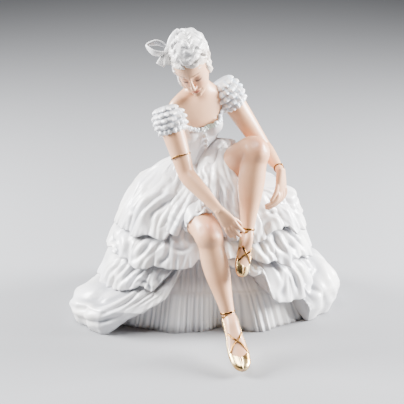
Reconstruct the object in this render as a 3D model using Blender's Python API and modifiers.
"""Porcelain figurine of a seated ballerina who ties the ribbon of her raised slipper.

The figure is one solid. Its body, dress, hair and slippers are lofted from their
cross-sections, fused as the potter's slip fuses the cast pieces, and cut off flat below.
+Z is up, she faces -Y, and the origin lies in the flat underside.
"""

import math

import bmesh
import bpy
import numpy as np
from mathutils import Matrix, Vector

# Driving sizes, in metres
FIGURE_HEIGHT = 0.2336
SKIRT_SPREAD = 0.214
HEM_THICKNESS = 0.0020
FLOUNCE_DEPTH = 0.0062
PLEAT_DEPTH = 0.0011
SLEEVE_RUFFLE = 0.0021
HAIR_LOCK_WIDTH = 0.0046
BOW_RIBBON_WIDTH = 0.0062
BOW_RIBBON_THICKNESS = 0.0015
FUSING_GRAIN = 0.00085

# The figure is drawn in millimetres at this height, and the skirt at this spread
DRAWN_HEIGHT = 233.6
DRAWN_SPREAD = 214.0
UNIT = FIGURE_HEIGHT / DRAWN_HEIGHT
SKIRT_UNIT = SKIRT_SPREAD / DRAWN_SPREAD

MOST_TRIANGLES = 9200
BELOW_GROUND = 2.0
GROUND_BOX = 1.0

# Joints of the pose, in drawn millimetres. Right and left are her own
JOINTS = {
    "right_hip": (-16.0, 26.0, 96.0),
    "right_knee": (4.4, -40.5, 85.5),
    "right_ankle": (20.5, -65.0, 25.5),
    "right_toe": (29.2, -101.0, 2.8),
    "left_hip": (6.0, 24.0, 101.0),
    "left_knee": (39.6, -18.0, 143.5),
    "left_ankle": (32.6, -42.0, 82.0),
    "left_toe": (27.6, -57.0, 57.0),
    "right_shoulder": (-25.6, -12.0, 169.5),
    "right_elbow": (-11.0, -30.0, 126.5),
    "right_wrist": (12.4, -50.0, 106.5),
    "left_shoulder": (17.4, 12.0, 179.6),
    "left_elbow": (47.0, 12.0, 134.0),
    "left_wrist": (58.4, -18.0, 126.0),
    "head": (-7.6, -17.5, 205.5),
}
JOINTS = {name: np.array(place) for name, place in JOINTS.items()}

# Limb profiles: bone, share along it, offset to the front, half width, half depth
LEG = (
    (0, 0.00, 0.0, 16.5, 16.5),
    (0, 0.35, 0.0, 15.0, 15.0),
    (0, 0.70, 0.2, 12.8, 12.8),
    (0, 0.92, 0.6, 11.0, 11.4),
    (1, 0.05, 0.6, 10.6, 10.8),
    (1, 0.15, -0.4, 9.3, 9.8),
    (1, 0.32, -1.8, 9.9, 10.3),
    (1, 0.48, -1.6, 9.1, 9.4),
    (1, 0.64, -1.0, 7.3, 7.6),
    (1, 0.80, -0.4, 5.7, 6.0),
    (1, 0.92, 0.0, 4.9, 5.2),
    (1, 1.02, 0.3, 5.0, 5.4),
)
ARM = (
    (0, -0.06, 0.0, 6.4, 6.4),
    (0, 0.10, 0.0, 8.6, 8.4),
    (0, 0.40, 0.2, 8.2, 7.8),
    (0, 0.78, 0.1, 6.9, 6.7),
    (0, 0.96, 0.0, 6.3, 6.4),
    (1, 0.15, 0.2, 6.4, 6.1),
    (1, 0.35, 0.1, 6.0, 5.5),
    (1, 0.65, 0.0, 4.9, 4.3),
    (1, 0.90, 0.0, 3.9, 3.1),
    (1, 1.05, 0.0, 3.8, 2.7),
)
# Foot from heel to toe: share of its length, height of its middle over the sole, half width, half height
FOOT = (
    (0.00, 6.6, 1.6, 2.6),
    (0.04, 6.8, 4.2, 5.8),
    (0.13, 7.4, 5.4, 7.3),
    (0.26, 7.8, 5.4, 7.6),
    (0.42, 6.2, 5.8, 6.0),
    (0.58, 4.7, 6.9, 4.5),
    (0.74, 3.6, 7.3, 3.5),
    (0.88, 3.0, 6.4, 2.9),
    (0.96, 2.7, 4.4, 2.4),
    (1.00, 2.5, 2.0, 1.3),
)
HEEL_BEHIND_ANKLE = 9.0
PALM = ((-0.10, 3.6, 2.7), (0.30, 4.6, 2.8), (0.75, 5.6, 2.6), (1.08, 5.4, 2.0))
FINGER_RADIUS = 1.6
FINGER_SPACING = 2.75
THUMB_RADIUS = 1.7
# The raised foot is turned edge on and drawn slimmer
FOOT_WIDTH = {"right": 1.0, "left": 0.72}
# Torso upwards: place, half width, half depth, how far the side has turned to the shoulders' line
TORSO = (
    (-8.0, 27.0, 84.0, 24.0, 18.0, 0.0),
    (-8.5, 26.5, 97.0, 24.0, 18.0, 0.1),
    (-9.2, 23.5, 109.0, 18.5, 14.5, 0.3),
    (-9.4, 19.0, 122.0, 13.2, 10.8, 0.5),
    (-6.6, 12.5, 137.0, 14.6, 11.4, 0.7),
    (-3.8, 5.5, 152.0, 17.8, 12.0, 0.9),
    (-2.9, 1.5, 164.0, 20.5, 10.8, 1.0),
    (-3.4, 0.0, 173.5, 24.5, 9.4, 1.0),
    (-3.2, -1.5, 181.0, 19.0, 8.2, 1.0),
    (-3.2, -3.4, 187.0, 10.4, 7.4, 1.0),
    (-4.0, -6.5, 193.5, 6.9, 6.8, 0.8),
    (-5.2, -9.5, 200.5, 6.5, 6.9, 0.6),
)
BREASTS = ((-10.2, -4.2, 152.5), (6.6, 1.6, 156.5))
BREAST_RADII = (8.2, 6.8, 8.0)
# Neckline of the bodice: angle round the torso from her left side to the front, height
NECKLINE = (
    (-180.0, 164.0), (-150.0, 163.0), (-135.0, 161.5), (-120.0, 159.5), (-103.0, 158.5), (-90.0, 159.5),
    (-75.0, 160.0), (-58.0, 161.5), (-45.0, 165.0), (-30.0, 167.0), (0.0, 168.0), (90.0, 160.0),
    (180.0, 164.0),
)
BODICE_BOTTOM = 112.0
BODICE_THICKNESS = 0.9
# Lace rosettes down the front: lowest, highest, spacing, and the radii of each
ROSETTES = (118.0, 157.0, 4.4)
ROSETTE_RADII = (1.5, 1.2, 1.6)
# Sleeves: start and stop along the upper arm, radius
SLEEVES = {"right": (-7.0, 18.5, 11.6), "left": (-8.0, 15.5, 11.6)}
RUFFLES = 4
SCALLOPS = 11

# Head from the chin up, in its own frame: height, front, back, half width
HEAD = (
    (-19.5, -12.4, -7.0, 2.6),
    (-17.5, -13.8, -3.0, 5.6),
    (-13.5, -13.8, 1.0, 8.6),
    (-8.0, -13.4, 6.5, 10.6),
    (-2.0, -13.0, 12.0, 11.7),
    (4.0, -13.8, 15.5, 12.4),
    (10.0, -13.0, 17.0, 12.4),
    (15.0, -9.5, 14.0, 10.2),
    (18.5, -4.0, 8.5, 5.8),
    (19.8, 0.5, 4.0, 2.0),
)
GAZE = Vector((0.17, -0.76, -0.63)).normalized()
HEAD_TILT = math.radians(13.0)
# Dressed hair, in the head's frame
HAIR_CENTRE = (0.5, 5.5, 9.0)
HAIR_RADII = (12.9, 15.8, 15.5)
# Waves over the brow: height as an angle, swing of the wave, lift off the cap
HAIR_WAVES = ((20, 4.0, 1.6), (37, 5.0, 0.9), (54, 5.0, 0.7), (70, 4.0, 0.7))
# Rolls at the nape and ringlets beside the cheek: their run, and how full they are
NAPE_LOCKS = (
    (((11.6, 4.0, 5.0), (13.2, 4.0, -1.0), (13.2, 4.0, -7.0), (11.6, 5.5, -12.0), (9.0, 9.0, -14.0)), 1.15),
    (((12.0, 10.0, 1.0), (13.0, 11.0, -5.0), (11.4, 12.0, -11.0), (8.0, 12.0, -15.0)), 1.1),
    (((-12.2, 3.0, 3.0), (-13.4, 1.0, -3.0), (-12.2, 1.6, -9.0), (-12.6, -1.0, -15.0), (-10.8, -2.6, -21.0)),
     1.0),
    (((-12.4, 7.0, 1.0), (-13.6, 7.0, -6.0), (-12.2, 8.0, -12.0), (-11.4, 7.0, -17.0)), 1.0),
)
# Bow: place of the knot, each loop as its run and how far it turns to show its face, each tail as its run
BOW_KNOT = (-24.5, -22.7, 217.5)
BOW_KNOT_RADII = (3.0, 2.8, 4.4)
BOW_LOOPS = (((3.0, 2.0, 15.5), 62.0), ((-14.2, 3.0, 4.4), 38.0))
BOW_TAILS = ((-6.6, 1.0, -9.6), (-1.6, -4.2, -8.6))

# Dress outlines round the seat: half spreads to her left, her right, the front and the back
SEAT = (0.0, 18.0)
OUTLINE_POWER = 2.2
# Mass of the skirt upwards: height, then the half spreads
SKIRT_MASS = (
    (-BELOW_GROUND, 88.0, 88.0, 43.0, 60.0),
    (16.0, 86.0, 84.0, 42.0, 58.0),
    (36.0, 76.0, 70.0, 40.0, 54.0),
    (58.0, 74.0, 66.0, 41.0, 50.0),
    (78.0, 69.0, 58.0, 41.0, 46.0),
    (93.0, 63.0, 53.0, 36.0, 42.0),
    (104.0, 62.0, 51.6, 30.0, 39.4),
    (113.0, 34.0, 38.0, 20.0, 25.0),
    (121.0, 17.0, 24.0, 13.0, 16.0),
    (126.0, 8.0, 14.0, 8.0, 10.0),
)
# Flounces: top height, half spreads at the top and at the hem, gathers, seed, then hem heights by angle
FLOUNCES = {
    "hip": (
        106.0, (61.0, 51.0, 30.0, 38.0), (79.0, 65.0, 48.0, 51.0), 19, 3,
        ((0, 78), (60, 80), (120, 80), (165, 77), (199, 76), (213, 73.5), (227, 76.5), (239, 76), (243, 83),
         (256, 91), (266, 91), (285, 84), (305, 73), (321, 74.5), (326, 79.5), (338, 79.5), (340, 73.5), (350, 72)),
    ),
    "middle": (
        86.0, (66.0, 56.0, 39.0, 46.0), (84.0, 74.0, 52.0, 59.0), 21, 8,
        ((0, 50), (60, 56), (120, 57), (170, 54), (191, 56.5), (212, 56), (214, 52), (226, 52), (233, 55),
         (253, 54), (262, 56), (267, 62), (309, 62), (317, 56.5), (323, 57), (332, 50.5), (334, 55.5),
         (344, 52.5), (352, 50)),
    ),
    "lower": (
        64.0, (73.0, 64.0, 42.0, 52.0), (90.0, 82.0, 55.0, 65.0), 22, 5,
        ((0, 46), (60, 38), (120, 31), (170, 29), (203, 28.6), (216, 32), (223, 38), (232, 34.5), (242, 48),
         (250, 60), (284, 60), (300, 52), (307, 48.7), (316, 47), (318.5, 29.5), (327, 22.3), (336, 20.6),
         (341, 22), (350, 36)),
    ),
    "train": (
        60.0, (70.0, 62.0, 42.0, 50.0), (109.0, 109.0, 77.0, 82.0), 15, 12,
        ((0, -2), (60, -2), (120, -2), (200, -2), (215, -1), (219, 6), (224, 14), (233, 22), (241, 29),
         (250, 52), (262, 58), (326, 58), (333, 54), (341, -2)),
    ),
}
# Deep creases over the front: width, depth, then angle and share of the fall
CREASES = {
    "hip": (
        (3.0, 2.4, (228, 0.0), (220, 0.09), (215, 0.26), (212, 0.45), (210, 0.65), (208, 0.85)),
        (3.0, 2.2, (241, 0.04), (231, 0.19), (224, 0.36), (220, 0.51)),
        (2.4, 1.4, (220, 0.46), (222, 0.70), (225, 0.95)),
        (2.2, 2.0, (266, 0.67), (259, 0.81), (252, 0.85), (246, 0.89)),
        (2.6, 1.8, (334, 0.28), (342, 0.34), (350, 0.43), (360, 0.60)),
        (2.2, 1.3, (326, 0.74), (320, 0.82), (316, 0.98)),
    ),
    "middle": (
        (2.4, 1.8, (186, 0.70), (190, 0.83), (200, 0.89), (204, 1.00)),
        (2.6, 1.6, (226, 0.41), (224, 0.60), (220, 0.80), (215, 0.90)),
        (2.0, 1.4, (240, 0.41), (242, 0.60), (240, 0.81), (235, 0.93)),
        (2.2, 1.8, (330, 0.27), (328, 0.46), (329, 0.63), (332, 0.76)),
        (2.0, 1.4, (334, 0.35), (334, 0.56), (338, 0.78), (342, 0.95)),
        (2.4, 1.8, (318, 0.47), (317, 0.70), (319, 0.87)),
    ),
    "lower": (
        (1.8, 1.4, (206, 0.32), (202, 0.55), (198, 0.81), (198, 0.98)),
        (1.8, 1.4, (222, 0.60), (219, 0.76), (216, 0.94)),
        (1.8, 1.5, (334, 0.30), (334, 0.44), (336, 0.59), (336, 0.76)),
        (2.0, 1.5, (346, 0.41), (348, 0.70), (348, 1.00)),
        (2.0, 1.3, (330, 0.51), (328, 0.69), (325, 0.85)),
    ),
    "train": (
        (3.0, 2.4, (190, 0.68), (198, 0.64), (205, 0.62), (211, 0.60), (216, 0.50)),
        (2.4, 1.6, (204, 0.86), (214, 0.81), (221, 0.86)),
        (2.2, 1.6, (222, 0.56), (221, 0.63), (220, 0.68), (216, 0.70)),
        (2.4, 1.4, (356, 0.25), (354, 0.33), (348, 0.42), (343, 0.55)),
    ),
}
# Size of a degree and of the whole fall on each flounce, in drawn millimetres
CREASE_SCALE = {"hip": (1.15, 36.0), "middle": (1.2, 38.0), "lower": (1.35, 42.0), "train": (1.55, 80.0)}
# Puffs of the hip flounce beside the raised leg: angle, share of the fall, radius, height
HIP_PUFFS = ((352.0, 0.10, 9.0, 5.0), (10.0, 0.16, 10.0, 4.0))
# In front the gathers give way to the creases: middle angle, width of the front, share taken off
FRONT_ANGLE = 268.0
FRONT_WIDTH = 62.0
FRONT_CALM = 0.75
# How far the train draws in beside its opening: angle, distance
TRAIN_PULL = (
    (90.0, 0.0), (130.0, 5.0), (150.0, 13.0), (165.0, 18.0), (180.0, 14.0), (191.0, 3.0), (200.0, 0.0),
    (214.0, 2.0), (220.0, 9.0), (233.0, 15.0), (250.0, 20.0), (320.0, 22.0), (338.0, 17.0), (352.0, 4.0),
    (360.0, 0.0),
)
# How the train spreads as it falls: share of its fall, share of its spread to her right and to her left
TRAIN_PROFILE = (
    (0.00, 0.00, 0.00), (0.22, 0.10, 0.38), (0.36, 0.22, 0.68), (0.50, 0.45, 0.88), (0.61, 0.74, 0.98),
    (0.66, 0.90, 0.99), (0.80, 0.98, 0.96), (0.92, 0.93, 0.86), (1.00, 0.88, 0.78),
)
# Petticoat upwards: height, how far it stands out, share of the pleats' depth
PETTICOAT = (
    (-BELOW_GROUND, 1.6, 1.0), (8.0, 1.0, 1.0), (20.0, 0.2, 0.8), (27.0, -0.6, 0.5),
    (29.0, -1.6, 0.2), (34.0, -1.2, 0.3), (50.0, -2.0, 0.3), (60.0, -4.0, 0.1),
)
# Waves of its hem: angle, width in degrees, depth
PETTICOAT_WAVES = ((246.0, 11.0, 4.0), (292.0, 12.0, -10.0), (313.0, 10.0, 7.0))
# Cloth over each thigh: rows of share, lift, half width and half depth, then folds, their depth, where they
# start, and how much further the cloth is drawn on top
THIGH_DRAPES = {
    "right": (
        ((0.0, 2.0, 20.0, 19.0), (0.35, 1.5, 18.5, 18.0), (0.62, 1.0, 16.0, 16.0), (0.80, 0.8, 14.0, 14.2),
         (0.88, 0.6, 13.4, 13.5), (0.90, 0.5, 12.2, 12.3), (0.86, 0.4, 10.4, 10.4)),
        15, 1.5, 0.4, 0.0,
    ),
    "left": (
        ((0.0, 1.0, 22.0, 20.0), (0.22, 4.0, 21.0, 21.0), (0.38, 4.6, 19.4, 20.4), (0.46, 3.6, 18.6, 19.4),
         (0.51, 2.0, 16.8, 17.4), (0.49, 0.6, 13.8, 13.8), (0.42, 0.4, 12.0, 12.0)),
        13, 2.0, 1.1, 0.24,
    ),
}
# Folds of the cloth bunched in the lap: offset to her left, half width, reach to the back
LAP_FOLDS = ((-7.5, 3.6, 2.0), (-2.5, 4.2, -0.6), (2.6, 4.2, 1.6), (6.6, 3.8, -1.4))
# Run of that cloth from the raised thigh down: place, spread of the folds, fullness, half depth
LAP_CLOTH = (
    (4.0, 3.0, 136.0, 0.8, 0.9, 6.0),
    (6.5, -8.0, 122.0, 0.9, 1.1, 7.0),
    (11.0, -19.0, 106.0, 1.0, 0.9, 7.0),
    (16.0, -29.0, 91.0, 0.9, 1.1, 7.5),
    (20.0, -35.0, 77.0, 0.8, 0.9, 6.0),
)
PLEAT_COUNT = 64
UNDERSKIRT = (88.0, 86.0, 47.0, 58.0)
UNDERSKIRT_DRAWN_IN = (0.46, 0.54, 0.06, 0.24)


def smooth_rows(rows, spans):
    """Rows of numbers, with a smooth curve through them at this many steps a row."""
    rows = np.array(rows, float)
    ends = np.vstack([2 * rows[0] - rows[1], rows, 2 * rows[-1] - rows[-2]])
    share = np.linspace(0.0, 1.0, spans, endpoint=False)[:, None]
    curve = []
    for before, start, stop, after in zip(ends, ends[1:], ends[2:], ends[3:]):
        curve.append(
            start
            + 0.5 * share * (stop - before)
            + share**2 * (before - 2.5 * start + 2 * stop - 0.5 * after)
            + 0.5 * share**3 * (3 * (start - stop) + after - before)
        )
    curve.append(rows[-1:])
    return np.vstack(curve)


def unit_rows(vectors):
    return vectors / np.linalg.norm(vectors, axis=-1, keepdims=True)


def loft(rings, closed_path=False):
    """A mesh skin over rings of points, capped flat at both ends unless its path is closed."""
    rings = np.asarray(rings, float)
    count, around = rings.shape[:2]
    mesh = bmesh.new()
    corners = [[mesh.verts.new(point * UNIT) for point in ring] for ring in rings]
    steps = count if closed_path else count - 1
    for row in range(steps):
        lower = corners[row]
        upper = corners[(row + 1) % count]
        for column in range(around):
            beside = (column + 1) % around
            mesh.faces.new((lower[column], lower[beside], upper[beside], upper[column]))
    if not closed_path:
        mesh.faces.new(corners[0][::-1])
        mesh.faces.new(corners[-1])
    bmesh.ops.recalc_face_normals(mesh, faces=mesh.faces)
    return mesh


def limb(rows, front, around=16, spans=4, power=2.0):
    """A loft along rows of place, half width and half depth, whose front faces one way."""
    rows = smooth_rows(rows, spans)
    centres = rows[:, :3]
    along = unit_rows(np.gradient(centres, axis=0))
    front = np.broadcast_to(np.array(front, float), centres.shape)
    front = unit_rows(front - along * np.sum(front * along, axis=1, keepdims=True))
    side = np.cross(along, front)
    turn = np.linspace(0.0, 2 * math.pi, around, endpoint=False)
    across = np.sign(np.cos(turn)) * np.abs(np.cos(turn)) ** (2 / power)
    deep = np.sign(np.sin(turn)) * np.abs(np.sin(turn)) ** (2 / power)
    rings = (
        centres[:, None]
        + side[:, None] * (rows[:, 3, None] * across)[:, :, None]
        + front[:, None] * (rows[:, 4, None] * deep)[:, :, None]
    )
    return loft(rings)


def ball(centre, radii, segments=16):
    """An ellipsoid from a sphere primitive."""
    mesh = bmesh.new()
    bmesh.ops.create_uvsphere(mesh, u_segments=segments, v_segments=segments // 2, radius=1.0)
    for vertex in mesh.verts:
        place = [c + r * v for c, r, v in zip(centre, radii, vertex.co)]
        vertex.co = Vector(place) * UNIT
    return mesh


def along_bones(joints, profile, front):
    """Rows for a limb from its joints and a profile of bones."""
    joints = [JOINTS[name] for name in joints]
    front = np.array(front, float)
    rows = []
    for bone, share, offset, half_width, half_depth in profile:
        start = joints[bone]
        run = joints[bone + 1] - start
        ahead = front - run * (front @ run) / (run @ run)
        ahead /= np.linalg.norm(ahead)
        rows.append((*(start + share * run + offset * ahead), half_width, half_depth))
    return rows


def foot(side, top):
    """A pointed foot, whose instep faces the way top points."""
    ankle = JOINTS[side + "_ankle"]
    reach = JOINTS[side + "_toe"] - ankle
    ankle_height = FOOT[3][1]
    length = math.sqrt(reach @ reach - ankle_height**2) + HEEL_BEHIND_ANKLE
    ahead = reach / np.linalg.norm(reach)
    top = np.array(top, float)
    top = top - ahead * (top @ ahead)
    top /= np.linalg.norm(top)
    droop = math.asin(ankle_height / np.linalg.norm(reach))
    axis = ahead * math.cos(droop) + top * math.sin(droop)
    top = top * math.cos(droop) - ahead * math.sin(droop)
    heel = ankle - top * ankle_height - axis * HEEL_BEHIND_ANKLE
    rows = [
        (*(heel + axis * share * length + top * height), half_width * FOOT_WIDTH[side], half_height)
        for share, height, half_width, half_height in FOOT
    ]
    return limb(rows, top, power=2.3)


def legs():
    knee_front = {"right": (0.05, -0.65, 0.75), "left": (0.30, -0.62, 0.60)}
    instep = {"right": (0.15, -0.75, 0.62), "left": (0.35, -0.85, 0.30)}
    for side in ("right", "left"):
        joints = (side + "_hip", side + "_knee", side + "_ankle")
        yield limb(along_bones(joints, LEG, knee_front[side]), knee_front[side])
        yield foot(side, instep[side])


def finger(start, stop, bend, radius):
    """A finger that bows towards bend halfway and narrows to its tip."""
    start, stop, bend = (np.array(value, float) for value in (start, stop, bend))
    middle = (start + stop) / 2 + bend
    rows = [
        (*start, radius, radius),
        (*((start + middle) / 2 + bend * 0.25), radius, radius),
        (*middle, radius * 0.96, radius * 0.96),
        (*((middle + stop) / 2 + bend * 0.2), radius * 0.88, radius * 0.88),
        (*stop, radius * 0.55, radius * 0.55),
    ]
    return limb(rows, (0.3, -0.9, 0.3), around=10, spans=2)


def hand(wrist, knuckles, across, back, tips, bend, thumb):
    """A palm from the wrist to the knuckles, four fingers to their tips, and a thumb."""
    wrist = JOINTS[wrist]
    knuckles, across, back = (np.array(value, float) for value in (knuckles, across, back))
    run = knuckles - wrist
    palm = [(*(wrist + run * share), half_width, half_depth) for share, half_width, half_depth in PALM]
    yield limb(palm, back, around=14, power=2.4)
    for index, tip in enumerate(tips):
        root = knuckles + across * (index - 1.5) * FINGER_SPACING
        yield finger(root - run * 0.12, tip, bend, FINGER_RADIUS)
    yield finger(*thumb, THUMB_RADIUS)


def arms():
    outward = {"right": (-0.5, -0.8, 0.2), "left": (0.6, -0.7, 0.1)}
    for side in ("right", "left"):
        joints = (side + "_shoulder", side + "_elbow", side + "_wrist")
        yield limb(along_bones(joints, ARM, outward[side]), outward[side])
    yield from hand(
        "right_wrist",
        (20.5, -53.0, 97.0),
        (0.66, -0.05, 0.66),
        (-0.35, -0.85, 0.40),
        ((21.5, -51.0, 86.5), (24.5, -51.5, 86.0), (28.0, -52.0, 87.0), (30.5, -51.5, 90.5)),
        (-0.6, -2.2, 0.6),
        ((15.5, -49.5, 101.5), (29.0, -45.0, 93.5), (1.5, -0.5, 1.5)),
    )
    yield from hand(
        "left_wrist",
        (58.6, -21.5, 111.5),
        (-0.75, -0.60, -0.1),
        (0.75, -0.62, 0.10),
        ((46.5, -20.0, 97.0), (45.0, -23.5, 96.5), (44.0, -27.0, 98.0), (43.8, -30.0, 101.5)),
        (3.2, -0.8, -0.4),
        ((56.0, -22.0, 119.0), (46.0, -31.0, 108.0), (1.0, -1.5, 0.0)),
    )


def torso_points(rows, turn, grow=0.0):
    """Points on the torso's sections, for one row of the profile and one angle each."""
    level = np.array((1.0, 0.0, 0.0))
    shoulders = JOINTS["left_shoulder"] - JOINTS["right_shoulder"]
    shoulders = shoulders / np.linalg.norm(shoulders)
    spine = smooth_rows(TORSO, 6)
    share = np.arange(len(spine)) / 6
    along = unit_rows(np.gradient(spine[:, :3], axis=0))
    side = unit_rows(level + spine[:, 5:6] * (shoulders - level))
    side = unit_rows(side - along * np.sum(side * along, axis=1, keepdims=True))
    front = np.cross(side, along)
    table = np.column_stack((spine[:, :5], side, front))
    at = np.column_stack([np.interp(rows, share, column) for column in table.T])
    wide = (at[:, 3] + grow) * np.cos(turn)
    deep = (at[:, 4] + grow) * np.sin(turn)
    return at[:, :3] + at[:, 5:8] * wide[:, None] + at[:, 8:11] * -deep[:, None]


def torso():
    turn = np.linspace(0.0, 2 * math.pi, 32, endpoint=False)
    yield loft([torso_points(np.full(32, row), turn) for row in np.arange(0.0, len(TORSO) - 0.9, 0.34)])
    for breast in BREASTS:
        yield ball(breast, BREAST_RADII)


def bodice():
    """The bodice from the waist to its neckline, over the torso and the breasts."""
    turn = np.linspace(0.0, 2 * math.pi, 48, endpoint=False)
    degrees = (np.degrees(turn) + 180.0) % 360.0 - 180.0
    heights = np.array([row[2] for row in TORSO])
    rim = np.interp(degrees, *zip(*NECKLINE))
    rings = []
    for share in np.linspace(0.0, 1.0, 14):
        rows = np.interp(BODICE_BOTTOM + (rim - BODICE_BOTTOM) * share, heights, np.arange(len(TORSO)))
        ring = torso_points(rows, turn, BODICE_THICKNESS)
        for breast in BREASTS:
            away = ring - np.array(breast)
            inside = np.linalg.norm(away / BREAST_RADII, axis=1)
            push = np.clip(1.12 - inside, 0.0, None)[:, None]
            ring = ring + unit_rows(away * (1.0, 1.0, 0.3)) * push * BREAST_RADII[0]
        rings.append(ring)
    centre = np.mean(rings[-1], axis=0)
    rings.append(centre + (rings[-1] - centre) * 0.8)
    yield loft(rings)
    edge = rings[-2][np.argsort(degrees)]
    frill = [
        (*point, 1.3 + 0.5 * (index % 2), 1.3 + 0.5 * (index % 2))
        for index, (point, angle) in enumerate(zip(edge, np.sort(degrees)))
        if -155 < angle < 20
    ]
    yield limb(frill, (0.0, -0.4, 1.0), around=8, spans=1)
    for height in np.arange(*ROSETTES):
        row = np.interp(height, heights, np.arange(len(TORSO)))
        place = torso_points(np.array([row]), np.array([math.radians(-82)]), BODICE_THICKNESS)[0]
        yield ball(place, ROSETTE_RADII, segments=8)


def head_axes():
    """Her left, the back of her head and its crown, as rows."""
    back = -GAZE
    left = back.cross(Vector((0.0, 0.0, 1.0))).normalized()
    crown = left.cross(back)
    tilt = Matrix.Rotation(HEAD_TILT, 3, GAZE)
    return np.array((tilt @ left, back, tilt @ crown))


def on_head(points):
    """Points of the head's own frame, set in the pose."""
    return JOINTS["head"] + np.asarray(points, float) @ head_axes()


def head_rings():
    """Level sections of the head, rounder behind than in the face."""
    rows = smooth_rows(HEAD, 2)
    turn = np.linspace(0.0, 2 * math.pi, 24, endpoint=False)
    rings = []
    for height, front, back, half_width in rows:
        middle = (front + back) / 2
        half_depth = (back - front) / 2
        widest = 1.0 + 0.10 * np.sin(turn)
        rings.append(
            np.column_stack(
                (
                    half_width * np.cos(turn) * widest,
                    middle + half_depth * np.sin(turn),
                    np.full(len(turn), height),
                )
            )
        )
    return np.array(rings)


def head_limb(rows, front=(0.0, -1.0, 0.0), **options):
    """A loft along rows given in the head's own frame."""
    rows = np.array(rows, float)
    placed = np.column_stack((on_head(rows[:, :3]), rows[:, 3:]))
    return limb(placed, np.array(front) @ head_axes(), **options)


def head():
    yield loft(on_head(head_rings()))
    yield head_limb(((0, -12.6, 3.0, 1.3, 1.2), (0, -14.2, -1.5, 1.4, 1.5), (0, -16.2, -6.2, 1.8, 1.5),
                     (0, -14.4, -8.4, 1.9, 1.0)), around=10, spans=2)
    yield head_limb(((-3.6, -12.4, -12.4, 0.8, 0.8), (0, -14.4, -12.2, 1.4, 1.3), (3.6, -12.4, -12.4, 0.8, 0.8)),
                    front=(0, 0, 1), around=8, spans=2)
    yield head_limb(((-3, -13.2, -17.0, 1.6, 1.8), (0, -14.2, -17.0, 2.2, 2.2), (3, -13.2, -17.0, 1.6, 1.8)),
                    front=(0, 0, 1), around=8, spans=2)


def lock(points, width, taper=0.45):
    """A lock of hair: a rounded cord in the head's frame, thin at both ends."""
    points = smooth_rows(points, 3)
    share = np.linspace(0.0, 1.0, len(points))
    half = width / 2 * (taper + (1 - taper) * np.sin(math.pi * share) ** 0.6)
    return head_limb(np.column_stack((points, half, half)), front=(0.1, 0.2, 1.0), around=8, spans=1)


def hair_point(azimuth, height, lift=0.0):
    """A point on the dressed hair: azimuth from the face, height as an angle, both in degrees."""
    turn, rise_angle = math.radians(azimuth), math.radians(height)
    way = (
        math.sin(turn) * math.cos(rise_angle),
        -math.cos(turn) * math.cos(rise_angle),
        math.sin(rise_angle),
    )
    return [c + (r + lift) * w for c, r, w in zip(HAIR_CENTRE, HAIR_RADII, way)]


def curl(azimuth, height, turns, radius, width):
    """A lock wound into a flat curl on the hair."""
    path = []
    for share in np.linspace(0.25, 1.0, 8):
        across = radius * share * math.cos(turns * share)
        upward = radius * share * math.sin(turns * share)
        path.append(hair_point(azimuth + across, height + upward, 1.2))
    return lock(path, width)


def hair():
    width = HAIR_LOCK_WIDTH / UNIT
    shell = ball((0, 0, 0), HAIR_RADII, segments=20)
    for vertex in shell.verts:
        vertex.co = Vector(on_head(np.array(vertex.co) / UNIT + HAIR_CENTRE)) * UNIT
    yield shell
    for row, (height, swing, lift) in enumerate(HAIR_WAVES):
        for half in (-1, 1):
            path = []
            for step in range(9):
                azimuth = half * (14.0 * step - 4.0) / math.cos(math.radians(height)) ** 0.6
                wave = swing * math.cos(math.pi * (step + row))
                path.append(hair_point(azimuth, height + wave - 1.6 * step, lift))
            yield lock(path, width * (1.08 - 0.06 * row))
    for azimuth in range(112, 249, 17):
        path = [hair_point(azimuth + 5 * math.sin(step * 1.9), -42 + 18 * step, 0.5) for step in range(7)]
        yield lock(path, width)
    for azimuth, height in ((-70, 62), (-20, 78), (60, 64), (120, 60), (180, 72), (240, 60)):
        yield curl(azimuth, height, 5.0, 15.0, width * 0.8)
    for azimuth, height in ((84, 4), (96, -14), (-84, -2)):
        yield curl(azimuth, height, 5.5, 11.0, width * 0.85)
    for points, fullness in NAPE_LOCKS:
        yield lock(points, width * fullness)


def ribbon(rows, width_way):
    """A flat band along rows of place, half width and half thickness."""
    rows = smooth_rows(rows, 3)
    centres = rows[:, :3]
    along = unit_rows(np.gradient(centres, axis=0))
    side = unit_rows(width_way - along * (along @ width_way)[:, None])
    front = np.cross(side, along)
    corners = ((1, 1), (0, 1.25), (-1, 1), (-1, -1), (0, -1.25), (1, -1))
    rings = [
        [centre + s * row[3] * a + f * row[4] * b for a, b in corners]
        for centre, row, s, f in zip(centres, rows, side, front)
    ]
    return loft(rings)


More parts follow.
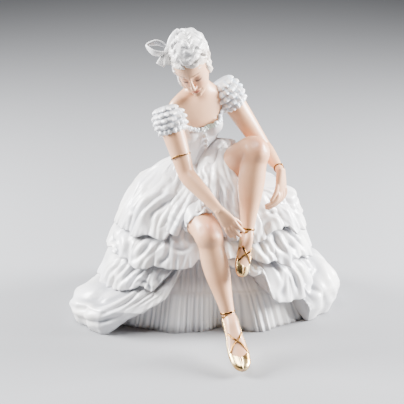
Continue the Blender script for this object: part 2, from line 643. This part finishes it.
def bow():
    """Ribbon bow on the right of the hair: two loops, two tails and the knot."""
    half_width = BOW_RIBBON_WIDTH / UNIT / 2
    half_thick = BOW_RIBBON_THICKNESS / UNIT / 2
    knot = np.array(BOW_KNOT)
    view = np.array((0.2, -0.9, -0.2))
    # Share of the reach, opening to the side, share of the ribbon's width
    loop_path = (
        (0.0, 0.8, 0.6), (0.25, 2.6, 0.8), (0.65, 3.4, 1.0), (0.98, 0.8, 1.0),
        (0.75, -2.6, 1.0), (0.35, -2.6, 0.8), (0.0, -0.8, 0.6),
    )
    for reach, roll in BOW_LOOPS:
        turned = Matrix.Rotation(math.radians(roll), 3, Vector(reach))
        reach = np.array(reach)
        across = np.array(turned @ Vector(unit_rows(np.cross(reach, view))))
        rows = [
            (*(knot + reach * along + across * out), half_width * broad, half_thick)
            for along, out, broad in loop_path
        ]
        yield ribbon(rows, np.cross(across, unit_rows(reach)))
    for reach in BOW_TAILS:
        reach = np.array(reach)
        rows = [(*(knot + reach * along), half_width * broad, half_thick)
                for along, broad in ((0.0, 0.6), (0.35, 0.8), (0.7, 1.0), (1.0, 1.1))]
        yield ribbon(rows, np.cross(reach, view))
    yield ball(knot, BOW_KNOT_RADII, segments=12)


def sleeve(arm, start, stop, radius):
    """A puffed sleeve of scalloped ruffles round the upper arm."""
    shoulder = JOINTS[arm + "_shoulder"]
    run = JOINTS[arm + "_elbow"] - shoulder
    along = run / np.linalg.norm(run)
    side = np.cross(along, (0.0, -1.0, 0.2))
    side /= np.linalg.norm(side)
    front = np.cross(side, along)
    depth = SLEEVE_RUFFLE / UNIT
    turn = np.linspace(0.0, 2 * math.pi, 4 * SCALLOPS, endpoint=False)
    rings = []
    for share in np.linspace(0.0, 1.0, 25):
        centre = shoulder + along * (start + (stop - start) * share)
        puff = radius * math.sin(math.pi * (0.16 + 0.68 * share)) ** 0.55
        row = share * RUFFLES
        tooth = row - math.floor(row) if share < 1.0 else 1.0
        scallop = 0.5 + 0.5 * np.cos(SCALLOPS * turn + math.pi * math.floor(row))
        out = puff + depth * (0.4 + scallop) * tooth**1.5 - depth * 0.3
        rings.append(centre + out[:, None] * (side * np.cos(turn)[:, None] + front * np.sin(turn)[:, None]))
    return loft(rings)


def sleeves():
    for arm, sizes in SLEEVES.items():
        yield sleeve(arm, *sizes)


def outline(turn, spreads):
    """Distance from the seat to an oval with its own half spread on each side."""
    left, right, front, back = spreads
    wide = np.where(np.cos(turn) > 0, left, right) * SKIRT_UNIT / UNIT
    deep = np.where(np.sin(turn) > 0, back, front)
    size = (np.abs(np.cos(turn)) / wide) ** OUTLINE_POWER + (np.abs(np.sin(turn)) / deep) ** OUTLINE_POWER
    return size ** (-1 / OUTLINE_POWER)


def around_seat(turn, distance, height):
    return np.column_stack(
        (
            SEAT[0] + distance * np.cos(turn),
            SEAT[1] + distance * np.sin(turn),
            np.broadcast_to(height, turn.shape),
        )
    )


def gathers(turn, count, seed):
    """Rounded billows of uneven width, from 0 in the creases to 1 on the crests."""
    phase = np.random.default_rng(seed).uniform(0, 2 * math.pi, 4)
    uneven = turn + 0.16 * np.sin(2 * turn + phase[0]) + 0.07 * np.sin(5 * turn + phase[1])
    billow = np.abs(np.sin(count * uneven / 2 + phase[2])) ** 0.7
    crease = 0.5 + 0.5 * np.cos(2.6 * count * uneven + phase[3])
    return 0.8 * billow + 0.2 * crease


def skirt_mass():
    rings = []
    turn = np.linspace(0.0, 2 * math.pi, 72, endpoint=False)
    for height, *spreads in smooth_rows(SKIRT_MASS, 2):
        shift = max(0.0, (height - 100.0) / 26.0)
        ring = around_seat(turn, outline(turn, spreads), height)
        ring[:, 0] += -9.5 * shift
        rings.append(ring)
    yield loft(rings)


def underskirt():
    """The straight pleated petticoat that shows at the front."""
    turn = np.linspace(0.0, 2 * math.pi, PLEAT_COUNT * 5, endpoint=False)
    pleat = PLEAT_DEPTH / UNIT * np.sin(PLEAT_COUNT * turn + 1.5 * np.sin(3 * turn))
    wave = np.zeros(len(turn))
    for angle, width, depth in PETTICOAT_WAVES:
        wave += depth * np.exp(-(((np.degrees(turn) - angle) / width) ** 2))
    rings = []
    for height, grow, share in PETTICOAT:
        spreads = [spread - height * drawn for spread, drawn in zip(UNDERSKIRT, UNDERSKIRT_DRAWN_IN)]
        out = outline(turn, spreads) + grow + share * pleat + wave * max(0.0, 1.0 - height / 40.0)
        rings.append(around_seat(turn, out, height))
    yield loft(rings)


def crease_field(degrees, share, name):
    """How far the creases and puffs of a flounce press its cloth in or out at a share of its fall."""
    per_degree, per_fall = CREASE_SCALE[name]
    field = np.zeros(len(degrees))
    for width, depth, *line in CREASES[name]:
        line = smooth_rows(line, 4)
        away = (degrees[:, None] - line[:, 0] + 180.0) % 360.0 - 180.0
        nearest = np.min(np.hypot(away * per_degree, (share - line[:, 1]) * per_fall), axis=1)
        field -= depth * np.exp(-((nearest / width) ** 2))
        field += depth / 2 * np.exp(-(((nearest / width - 2.1) / 1.2) ** 2))
    if name == "hip":
        for angle, fall, radius, height in HIP_PUFFS:
            away = (degrees - angle + 180.0) % 360.0 - 180.0
            distance = np.hypot(away * per_degree, (share - fall) * per_fall)
            field += height * np.exp(-((distance / radius) ** 2))
    return field


def flounce(name):
    """One flounce: gathered at its top, flaring to a scalloped hem with a hollow under it."""
    top, top_spreads, hem_spreads, count, seed, hem_heights = FLOUNCES[name]
    turn = np.linspace(0.0, 2 * math.pi, 220, endpoint=False)
    degrees = np.degrees(turn)
    wave = gathers(turn, count, seed)
    front = np.exp(-(((degrees - FRONT_ANGLE) / FRONT_WIDTH) ** 2))
    depth = FLOUNCE_DEPTH / UNIT * (1.0 - FRONT_CALM * front)
    lip = HEM_THICKNESS / UNIT
    inner = outline(turn, top_spreads)
    outer = outline(turn, hem_spreads)
    if name == "train":
        outer = outer - np.interp(degrees, *zip(*TRAIN_PULL), left=0.0)
    angles, heights = zip(*hem_heights)
    hem = np.interp(degrees, (*angles, 360), (*heights, heights[0]))
    lowest = min(heights)
    reach = (top - hem) / (top - lowest)
    scallop = 4.0 * (0.55 - wave) * np.clip(hem / 12.0, 0.0, 1.0) * (1.0 - front)

    def surface(share, inward, upward):
        pressed = crease_field(degrees, share, name)
        share = share * reach
        bulge = np.sin(math.pi * share * 0.8) * 2.4
        spread = share**0.85
        if name == "train":
            fall, right, left = zip(*TRAIN_PROFILE)
            to_left = (1.0 + np.cos(turn)) / 2
            spread = np.interp(share, fall, right) * (1.0 - to_left) + np.interp(share, fall, left) * to_left
            bulge = 0.0
        out = inner + (outer - inner) * spread + bulge + depth * (wave - 0.5) * share**0.7 + pressed
        height = top + (lowest - top) * share + scallop * share**2 + upward
        return around_seat(turn, out - inward, height)

    columns = [surface(share, 0.0, 0.0) for share in np.linspace(0.0, 0.95, 14)]
    columns.append(surface(1.0, 0.5, 0.0))
    columns.append(surface(1.0, lip, 0.4))
    columns.append(surface(0.97, lip * 2.0 + depth * 0.4, lip))
    columns.append(around_seat(turn, inner - 12.0, np.maximum(top - 22.0, lowest + 8.0)))
    columns.append(around_seat(turn, inner - 12.0, top - 1.0))
    rings = np.array(columns).transpose(1, 0, 2)
    return loft(rings, closed_path=True)


def drape(thigh, rows, folds, fold_depth, phase, slant):
    """Cloth drawn over a thigh, with folds that deepen to its edge."""
    start, stop = JOINTS[thigh + "_hip"], JOINTS[thigh + "_knee"]
    along = unit_rows(stop - start)
    side = unit_rows(np.cross(along, (0.0, -0.3, 1.0)))
    front = np.cross(side, along)
    turn = np.linspace(0.0, 2 * math.pi, 64, endpoint=False)
    wave = np.abs(np.sin(folds * turn / 2 + phase)) ** 0.8
    rings = []
    upper = np.sin(turn)
    for share, lift, wide, deep in smooth_rows(rows, 3):
        centre = start + (stop - start) * (share + slant * share * upper)[:, None] + front * lift
        out = 1.0 + fold_depth / wide * (wave - 0.5) * (0.3 + share)
        rings.append(
            centre
            + side * (wide * out * np.cos(turn))[:, None]
            + front * (deep * out * np.sin(turn))[:, None]
        )
    return loft(rings)


def drapes():
    for thigh, cloth in THIGH_DRAPES.items():
        yield drape(thigh, *cloth)
    # Cloth bunched in the lap and falling between the legs
    for offset, wide, reach in LAP_FOLDS:
        path = [
            (x + offset * spread, y + reach, z, wide * fullness, depth)
            for x, y, z, spread, fullness, depth in LAP_CLOTH
        ]
        yield limb(path, (0.1, -1.0, 0.6), around=12, spans=3)


def skirt():
    yield from skirt_mass()
    yield from underskirt()
    for name in FLOUNCES:
        yield flounce(name)


def fuse(name, meshes):
    """All the lofts as one object, fused by a voxel remesh and thinned to few faces."""
    whole = bmesh.new()
    for mesh in meshes:
        piece = bpy.data.meshes.new("piece")
        mesh.to_mesh(piece)
        mesh.free()
        whole.from_mesh(piece)
        bpy.data.meshes.remove(piece)
    data = bpy.data.meshes.new(name)
    whole.to_mesh(data)
    whole.free()
    figure = bpy.data.objects.new(name, data)
    parts.objects.link(figure)
    remesh = figure.modifiers.new("slip", "REMESH")
    remesh.mode = "VOXEL"
    remesh.voxel_size = FUSING_GRAIN
    soften = figure.modifiers.new("glaze", "SMOOTH")
    soften.factor = 0.5
    soften.iterations = 2
    graph = bpy.context.evaluated_depsgraph_get()
    fused = figure.evaluated_get(graph).data
    fused.calc_loop_triangles()
    thin = figure.modifiers.new("facets", "DECIMATE")
    thin.ratio = MOST_TRIANGLES / len(fused.loop_triangles)
    return figure


def cut_flat(figure):
    """Takes off all that is under the ground, which leaves the flat underside."""
    bpy.ops.mesh.primitive_cube_add(size=GROUND_BOX, location=(0.0, 0.0, -GROUND_BOX / 2))
    ground = bpy.context.object
    ground.name = "ground_cutter"
    for collection in list(ground.users_collection):
        collection.objects.unlink(ground)
    cutters.objects.link(ground)
    ground.hide_render = True
    ground.display_type = "WIRE"
    cut = figure.modifiers.new("underside", "BOOLEAN")
    cut.operation = "DIFFERENCE"
    cut.object = ground


def porcelain():
    """Glazed white porcelain."""
    material = bpy.data.materials.new("glazed_porcelain")
    material.use_nodes = True
    shader = material.node_tree.nodes["Principled BSDF"]
    shader.inputs["Base Color"].default_value = (0.80, 0.79, 0.77, 1.0)
    shader.inputs["Roughness"].default_value = 0.22
    shader.inputs["Metallic"].default_value = 0.0
    return material


for leftover in list(bpy.data.objects):
    bpy.data.objects.remove(leftover)
parts = bpy.data.collections.new("ballerina")
bpy.context.scene.collection.children.link(parts)
cutters = bpy.data.collections.new("cutters")
bpy.context.scene.collection.children.link(cutters)
forms = [legs, arms, torso, bodice, head, hair, bow, sleeves, skirt, drapes]
figurine = fuse("ballerina_figurine", [mesh for form in forms for mesh in form()])
cut_flat(figurine)
figurine.data.materials.append(porcelain())
figurine.data.shade_smooth()
